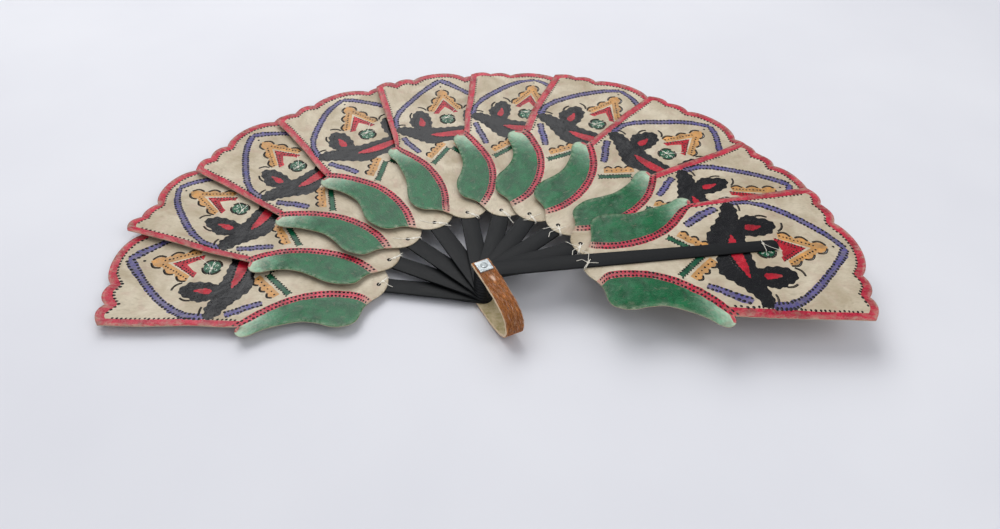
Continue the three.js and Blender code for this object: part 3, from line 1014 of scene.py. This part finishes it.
# Loose ends of each inner tie: the places each passes, as (along, across) in millimetres from the knot.
INNER_TAILS = {
    1: [[(-4.5, 3.2), (-6.5, 3.8)]],
    2: [[(-2.5, -6.0)]],
    3: [[(5.0, 5.5), (9.5, 8.5)]],
    4: [[(3.5, 6.0), (8.5, 10.5)], [(-3.0, -1.5), (-5.5, -5.0)]],
    5: [[(-4.5, -3.0)], [(2.5, 3.0)]],
    6: [[(-7.0, -5.5), (-8.5, -7.0)]],
    7: [[(5.5, -3.5)], [(-3.5, 1.0), (-5.0, 3.5)]],
    8: [[(-6.5, 1.5), (-10.0, -1.0)], [(-3.0, 4.5), (-7.5, 6.5)], [(4.5, -1.5)]],
    9: [[(-3.5, 4.0), (-5.5, 7.5)], [(-5.0, -1.0), (-7.0, -4.5)], [(4.0, 2.0)]],
    10: [[(2.0, 7.0), (-1.5, 10.5)], [(-3.0, 3.0), (-6.5, 2.0)], [(6.0, -1.0)]],
}


def tie_loop(start, end, low, high):
    """A thread round everything between two heights, from start across to end and back underneath."""
    (ax, ay), (bx, by) = start, end
    lift = 0.2
    return [(ax, ay, (low + high) / 2), (ax, ay, high + lift), (bx, by, high + lift), (bx, by, low - lift),
            (ax, ay, low - lift), (ax, ay, (low + high) / 2)]


def press_flat(made, low, high, covered):
    """Presses a tie into the room that the closed fan leaves below low and, under a blade, above high."""
    for v in made.verts:
        z = v.co.z / MM
        if z < low:
            z = low - THREAD_ROOM * math.tanh((low - z) / THREAD_ROOM)
        elif z > high and covered:
            z = high + THREAD_ROOM * math.tanh((z - high) / THREAD_ROOM)
        v.co.z = z * MM


def make_ties(index, material):
    """The inner tie with its knot and loose ends, and the outer tie round the stick."""
    angle = Matrix.Rotation(direction(stick_name(index)), 4, "Z")
    for kind in ("inner", "outer"):
        node = f"{kind}_tie_{index + 1:02d}"
        low, high = (p.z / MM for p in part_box(node))
        low, high = low + 0.25, high - 0.25
        made = bmesh.new()
        on_top = high + 0.16
        if kind == "inner":
            for shift in (0, 0.9):
                edge = (INNER_TIE_EDGE[0] + shift, INNER_TIE_EDGE[1])
                add_thread(made, tie_loop(INNER_TIE_HOLE, edge, low, high))
            knot = (60.2, -2.2, on_top)
            for steps in INNER_TAILS[index + 1]:
                tail = [knot, *((knot[0] + x, knot[1] + y, on_top + 0.05) for x, y in steps)]
                add_thread(made, tail, 0.13)
            add_thread(made, knot_path(knot, 0.32), 0.13, 0.3)
        else:
            out = OUTER_TIE_X + MOTIF_SHIFTS.get(index, (0, 0))[0]
            add_thread(made, tie_loop((out, -OUTER_TIE_Y), (out, OUTER_TIE_Y), low, high))
            knot = (out, 1.2, on_top)
            add_thread(made, knot_path(knot, 0.28), 0.12, 0.3)
            add_thread(made, [knot, (out + 4, -2.4, on_top), (out + 9.5, -6.2, on_top)], 0.12)
        press_flat(made, low, high, index < COUNT - 1)
        mesh = finished(made, node, angle)
        shade_smooth(mesh, 60)
        new_object(node + "_thread", mesh, material, body_name(index), node)


# ---- Pivot and strap


def lathe(profile, segments=64):
    """A turned solid: profile is (radius, height) pairs from the axis to the axis."""
    made = bmesh.new()
    rows = []
    for radius, height in profile:
        if radius < 1e-6:
            rows.append([made.verts.new((0, 0, height * MM))])
        else:
            rows.append([made.verts.new((radius * MM * math.cos(a), radius * MM * math.sin(a), height * MM))
                         for a in np.arange(segments) / segments * math.tau])
    for a, b in zip(rows, rows[1:]):
        for k in range(segments):
            corners = [a[k % len(a)], a[(k + 1) % len(a)], b[(k + 1) % len(b)], b[k % len(b)]]
            made.faces.new(list(dict.fromkeys(corners)))
    bmesh.ops.recalc_face_normals(made, faces=made.faces)
    return made


def make_rivet(material):
    """The rivet: flat rear head, plain shank, and a front end spread by the hammer."""
    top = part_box("pivot_rivet")[1].z / MM
    washer_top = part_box("square_washer")[1].z / MM
    start = washer_top + 0.05
    profile = [(0, 0), (REAR_HEAD_RADIUS - 0.35, 0), (REAR_HEAD_RADIUS - 0.1, 0.08), (REAR_HEAD_RADIUS, 0.3),
               (REAR_HEAD_RADIUS, 0.5), (REAR_HEAD_RADIUS - 0.1, 0.72), (REAR_HEAD_RADIUS - 0.35, 0.8),
               (SHANK_RADIUS, 0.8), (SHANK_RADIUS, start), (1.9, start), (2.08, start + 0.1),
               (2.1, start + 0.2), (1.95, start + 0.32), (1.6, start + 0.4), (1.25, top - 0.04), (0.85, top),
               (0.4, top), (0, top)]
    made = lathe(profile)
    for v in made.verts:
        if v.co.z > (start + 0.3) * MM:
            dent = noise.noise(v.co * 900) * 0.12 + noise.noise(v.co * 2400) * 0.06
            v.co.z -= max(dent, 0) * MM
    mesh = finished(made, "pivot_rivet")
    give_pattern(mesh, 1, lambda p: 0.75 * max(0.0, noise.noise(Vector(p) * 1.4) + 0.35))
    shade_smooth(mesh, 40)
    new_object("pivot_rivet_metal", mesh, material, "rear_blade", "pivot_rivet")


def make_washer(material):
    """The square washer: cut from sheet by hand, so its sides aren't quite true, with rubbed edges."""
    low, high = (p.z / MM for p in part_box("square_washer"))
    half = WASHER_SIDE / 2
    corners = [(-half, -half + 0.1), (half - 0.15, -half), (half, half - 0.2), (-half + 0.2, half)]
    made = bmesh.new()
    skin(made, [[made.verts.new(Vector((x, y, z)) * MM) for x, y in corners] for z in (low, high)])
    bmesh.ops.bevel(made, geom=made.edges[:], offset=0.22 * MM, segments=3, profile=0.5, affect="EDGES")
    post = drill((0, 0, (low + high) / 2), RIVET_HOLE_RADIUS, 6)
    mesh = cut_and_apply(finished(made, "square_washer"), [post])
    give_pattern(mesh, 2, lambda p: 0.0)
    mesh.transform(Matrix.Rotation(STRAP_ANGLE, 4, "Z"))
    shade_smooth(mesh, 40)
    new_object("square_washer_metal", mesh, material, "strap", "square_washer")


def strap_line():
    """The strap's middle line in side view, as (out, up) pairs, from its top end round to its lower end."""
    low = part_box("hanging_strap")[0].z / MM + STRAP_THICKNESS / 2
    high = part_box("hanging_strap")[1].z / MM - STRAP_THICKNESS / 2
    middle, bend = (low + high) / 2, STRAP_REACH - STRAP_THICKNESS / 2
    return np.concatenate([
        bezier((STRAP_TOP_END, high), (HEAD_RADIUS, high), pieces=8),
        bezier((HEAD_RADIUS, high), (26, high), (STRAP_REACH - 1, high - 3), (bend, middle), pieces=26),
        bezier((bend, middle), (STRAP_REACH - 1, low + 3), (26, low), (HEAD_RADIUS, low), pieces=26),
        bezier((HEAD_RADIUS, low), (STRAP_END, low), pieces=8),
        [(STRAP_END, low)],
    ])


STRAP_TURN = Matrix.Rotation(STRAP_ANGLE - STRAP_SET, 4, "Z")


def make_strap(materials, hair):
    """The strap: hair outside, flesh inside, pale cut edges, with real hairs lying along it."""
    line = strap_line()
    across = normals(line)
    half = STRAP_WIDTH / 2
    thick = STRAP_THICKNESS / 2
    ease = 0.3
    section = [(-half, thick - ease), (-half + ease, thick)]
    section += [(y, thick) for y in np.linspace(-half + 1.2, half - 1.2, 9)]
    section += [(half - ease, thick), (half, thick - ease), (half, -thick + ease), (half - ease, -thick)]
    section += [(y, -thick) for y in np.linspace(half - 1.2, -half + 1.2, 5)]
    section += [(-half + ease, -thick), (-half, -thick + ease)]
    run = distances(line)
    made = bmesh.new()
    place = made.verts.layers.float_vector.new("pattern")
    bald = made.verts.layers.float.new("bald")
    rows = []
    for k, (spot, normal) in enumerate(zip(line, across)):
        row = []
        for y, out in section:
            edge = 0.18 * noise.noise(Vector((run[k] * 0.25, y, 3)))
            reach = out + 0.1 * noise.noise(Vector((run[k] * 0.4, y * 0.6, 9)))
            x, z = spot + normal * reach
            vert = made.verts.new(Vector((x, y + edge * (abs(y) > half - 1), z)) * MM)
            vert[place] = (run[k], y, out)
            uneven = 0.5 * noise.noise(Vector((run[k] * 0.8, y * 0.8, 4)))
            patch = math.exp(-(((run[k] - 15.5) / 2.6) ** 2 + ((y - 0.6) / 1.3) ** 2) * 1.3) + uneven * 0.4
            vert[bald] = min(max(patch * 1.3 - 0.2, 0), 1) if out > 0 else 0.0
            row.append(vert)
        rows.append(row)
    count = len(section)
    for a, b in zip(rows, rows[1:]):
        for k in range(count):
            following = (k + 1) % count
            face = made.faces.new((a[k], b[k], b[following], a[following]))
            middle = (section[k][1] + section[following][1]) / 2
            face.material_index = 0 if middle > thick - 0.05 else 1 if middle < -thick + 0.05 else 2
    made.faces.new(rows[0]).material_index = 2
    made.faces.new(rows[-1][::-1]).material_index = 2
    bmesh.ops.recalc_face_normals(made, faces=made.faces)
    mesh = finished(made, "hanging_strap", STRAP_TURN)
    shade_smooth(mesh, 60)
    new_object("hanging_strap_hide", mesh, materials, "strap", "hanging_strap")
    make_hairs(line, across, run, hair)


def make_hairs(line, across, run, material, count=2600):
    """Short hairs combed along the strap, from its top end towards the bend and on under it."""
    random = np.random.default_rng(23)
    made = bmesh.new()
    place = made.verts.layers.float_vector.new("pattern")
    bald = made.verts.layers.float.new("bald")
    half = STRAP_WIDTH / 2
    for _ in range(count):
        start = random.uniform(0.5, run[-1] - 4.5)
        y = random.uniform(-half + 0.15, half - 0.15)
        if 10.5 < start < 17 and abs(y - 0.6) < 1.2:
            continue
        length, width = random.uniform(2.2, 4.4), random.uniform(0.06, 0.12)
        lean = random.normal(0.12, 0.3)
        lift = random.uniform(0.1, 0.32)
        shade = random.uniform(0, 90)
        pale = random.uniform(0.3, 0.75) if random.uniform() < 0.22 else 0.0
        rows = []
        for share in (0.0, 0.5, 1.0):
            at = start + length * share
            x0, z0 = (np.interp(at, run, line[:, k]) for k in (0, 1))
            nx, nz = (np.interp(at, run, across[:, k]) for k in (0, 1))
            out = STRAP_THICKNESS / 2 + 0.02 + lift * math.sin(share * 2.2)
            side = min(max(y + lean * share * 2, -half), half)
            thin = width * (1 - share * 0.75)
            centre = Vector((x0 + nx * out, side, z0 + nz * out))
            row = [centre + Vector((0, -thin, 0)), centre + Vector((0, thin, 0)),
                   centre + Vector((nx, 0, nz)) * thin * 1.4]
            verts = [made.verts.new(p * MM) for p in row]
            for vert in verts:
                vert[place] = (at * 0.6 + shade, side + shade, 0)
                vert[bald] = pale
            rows.append(verts)
        skin(made, rows)
    bmesh.ops.recalc_face_normals(made, faces=made.faces)
    mesh = finished(made, "strap_hairs", STRAP_TURN)
    hairs = new_object("strap_hairs", mesh, material, "strap", None)


# ---- The studio


def floor_material():
    s = Shader("paper_floor")
    place = s.node("ShaderNodeTexCoord").outputs["Object"]
    soft = s.noise(place, 6, 3, 0.5)
    base = s.mix(s.span(soft, 0.3, 0.7, 0, 1), colour(226, 226, 231), colour(232, 232, 236))
    return s.finish(base, 0.85, s.bump(s.noise(place, 900, 3, 0.6), 0.05, 0.0002))


FLOOR_REACH = 4.0
SKY_COLOUR, SKY_STRENGTH = (0.9, 0.93, 1.0, 1), 0.42
LAMP_TARGET = Vector((0, 0.08, 0.01))
LAMPS = [  # name, place and size in metres, power in watts
    ("key", (-0.5, 0.55, 1.3), 1.1, 9),
    ("fill", (0.9, -0.5, 1.1), 1.0, 5),
    ("back", (-0.1, 1.05, 1.0), 0.9, 4.5),
]


def make_studio():
    """A pale floor and three soft lamps."""
    mesh = bpy.data.meshes.new("floor")
    corners = [(x * FLOOR_REACH, y * FLOOR_REACH, 0) for x, y in ((-1, -1), (1, -1), (1, 1), (-1, 1))]
    mesh.from_pydata(corners, [], [(0, 1, 2, 3)])
    mesh.materials.append(floor_material())
    floor = linked(bpy.data.objects.new("floor", mesh))
    world = bpy.data.worlds.new("studio")
    bpy.context.scene.world = world
    world.use_nodes = True
    sky = world.node_tree.nodes["Background"].inputs
    sky["Color"].default_value, sky["Strength"].default_value = SKY_COLOUR, SKY_STRENGTH
    for name, place, size, power in LAMPS:
        data = bpy.data.lights.new(name, "AREA")
        data.shape, data.size, data.energy = "DISK", size, power
        lamp = linked(bpy.data.objects.new(name, data))
        lamp.location = place
        lamp.rotation_mode = "QUATERNION"
        lamp.rotation_quaternion = (LAMP_TARGET - Vector(place)).to_track_quat("-Z", "Y")


CAMERA_TARGET = Vector((0.0091, 0.0248, 0.0054))
CAMERA_DISTANCE = 0.5288
CAMERA_ELEVATION = math.radians(44.91)
CAMERA_ROLL = math.radians(1.94)
CAMERA_LENS = 31.38


def make_camera():
    """The camera, low in front of the fan and rolled very slightly."""
    data = bpy.data.cameras.new("camera")
    data.lens, data.sensor_width = CAMERA_LENS, 36
    data.clip_start, data.clip_end = 0.01, 20
    camera = linked(bpy.data.objects.new("camera", data))
    back = Vector((0, -math.cos(CAMERA_ELEVATION), math.sin(CAMERA_ELEVATION)))
    camera.location = CAMERA_TARGET + back * CAMERA_DISTANCE
    camera.rotation_mode = "QUATERNION"
    aim = (-back).to_track_quat("-Z", "Y")
    camera.rotation_quaternion = aim @ Matrix.Rotation(CAMERA_ROLL, 3, "Z").to_quaternion()
    bpy.context.scene.camera = camera


# ---- Making it all

bpy.context.scene.view_settings.view_transform = "Standard"
make_camera()
make_studio()
HIDE, HORN, THREAD = hide_material(), stick_material(), thread_material()
METAL, HAIR = metal_material(), hair_material()
for number in range(COUNT):
    make_stick(number, HORN)
    make_leaf(number, HIDE)
    make_ties(number, THREAD)
make_rivet(METAL)
make_washer(METAL)
make_strap([HAIR, flesh_material(), edge_material()], HAIR)
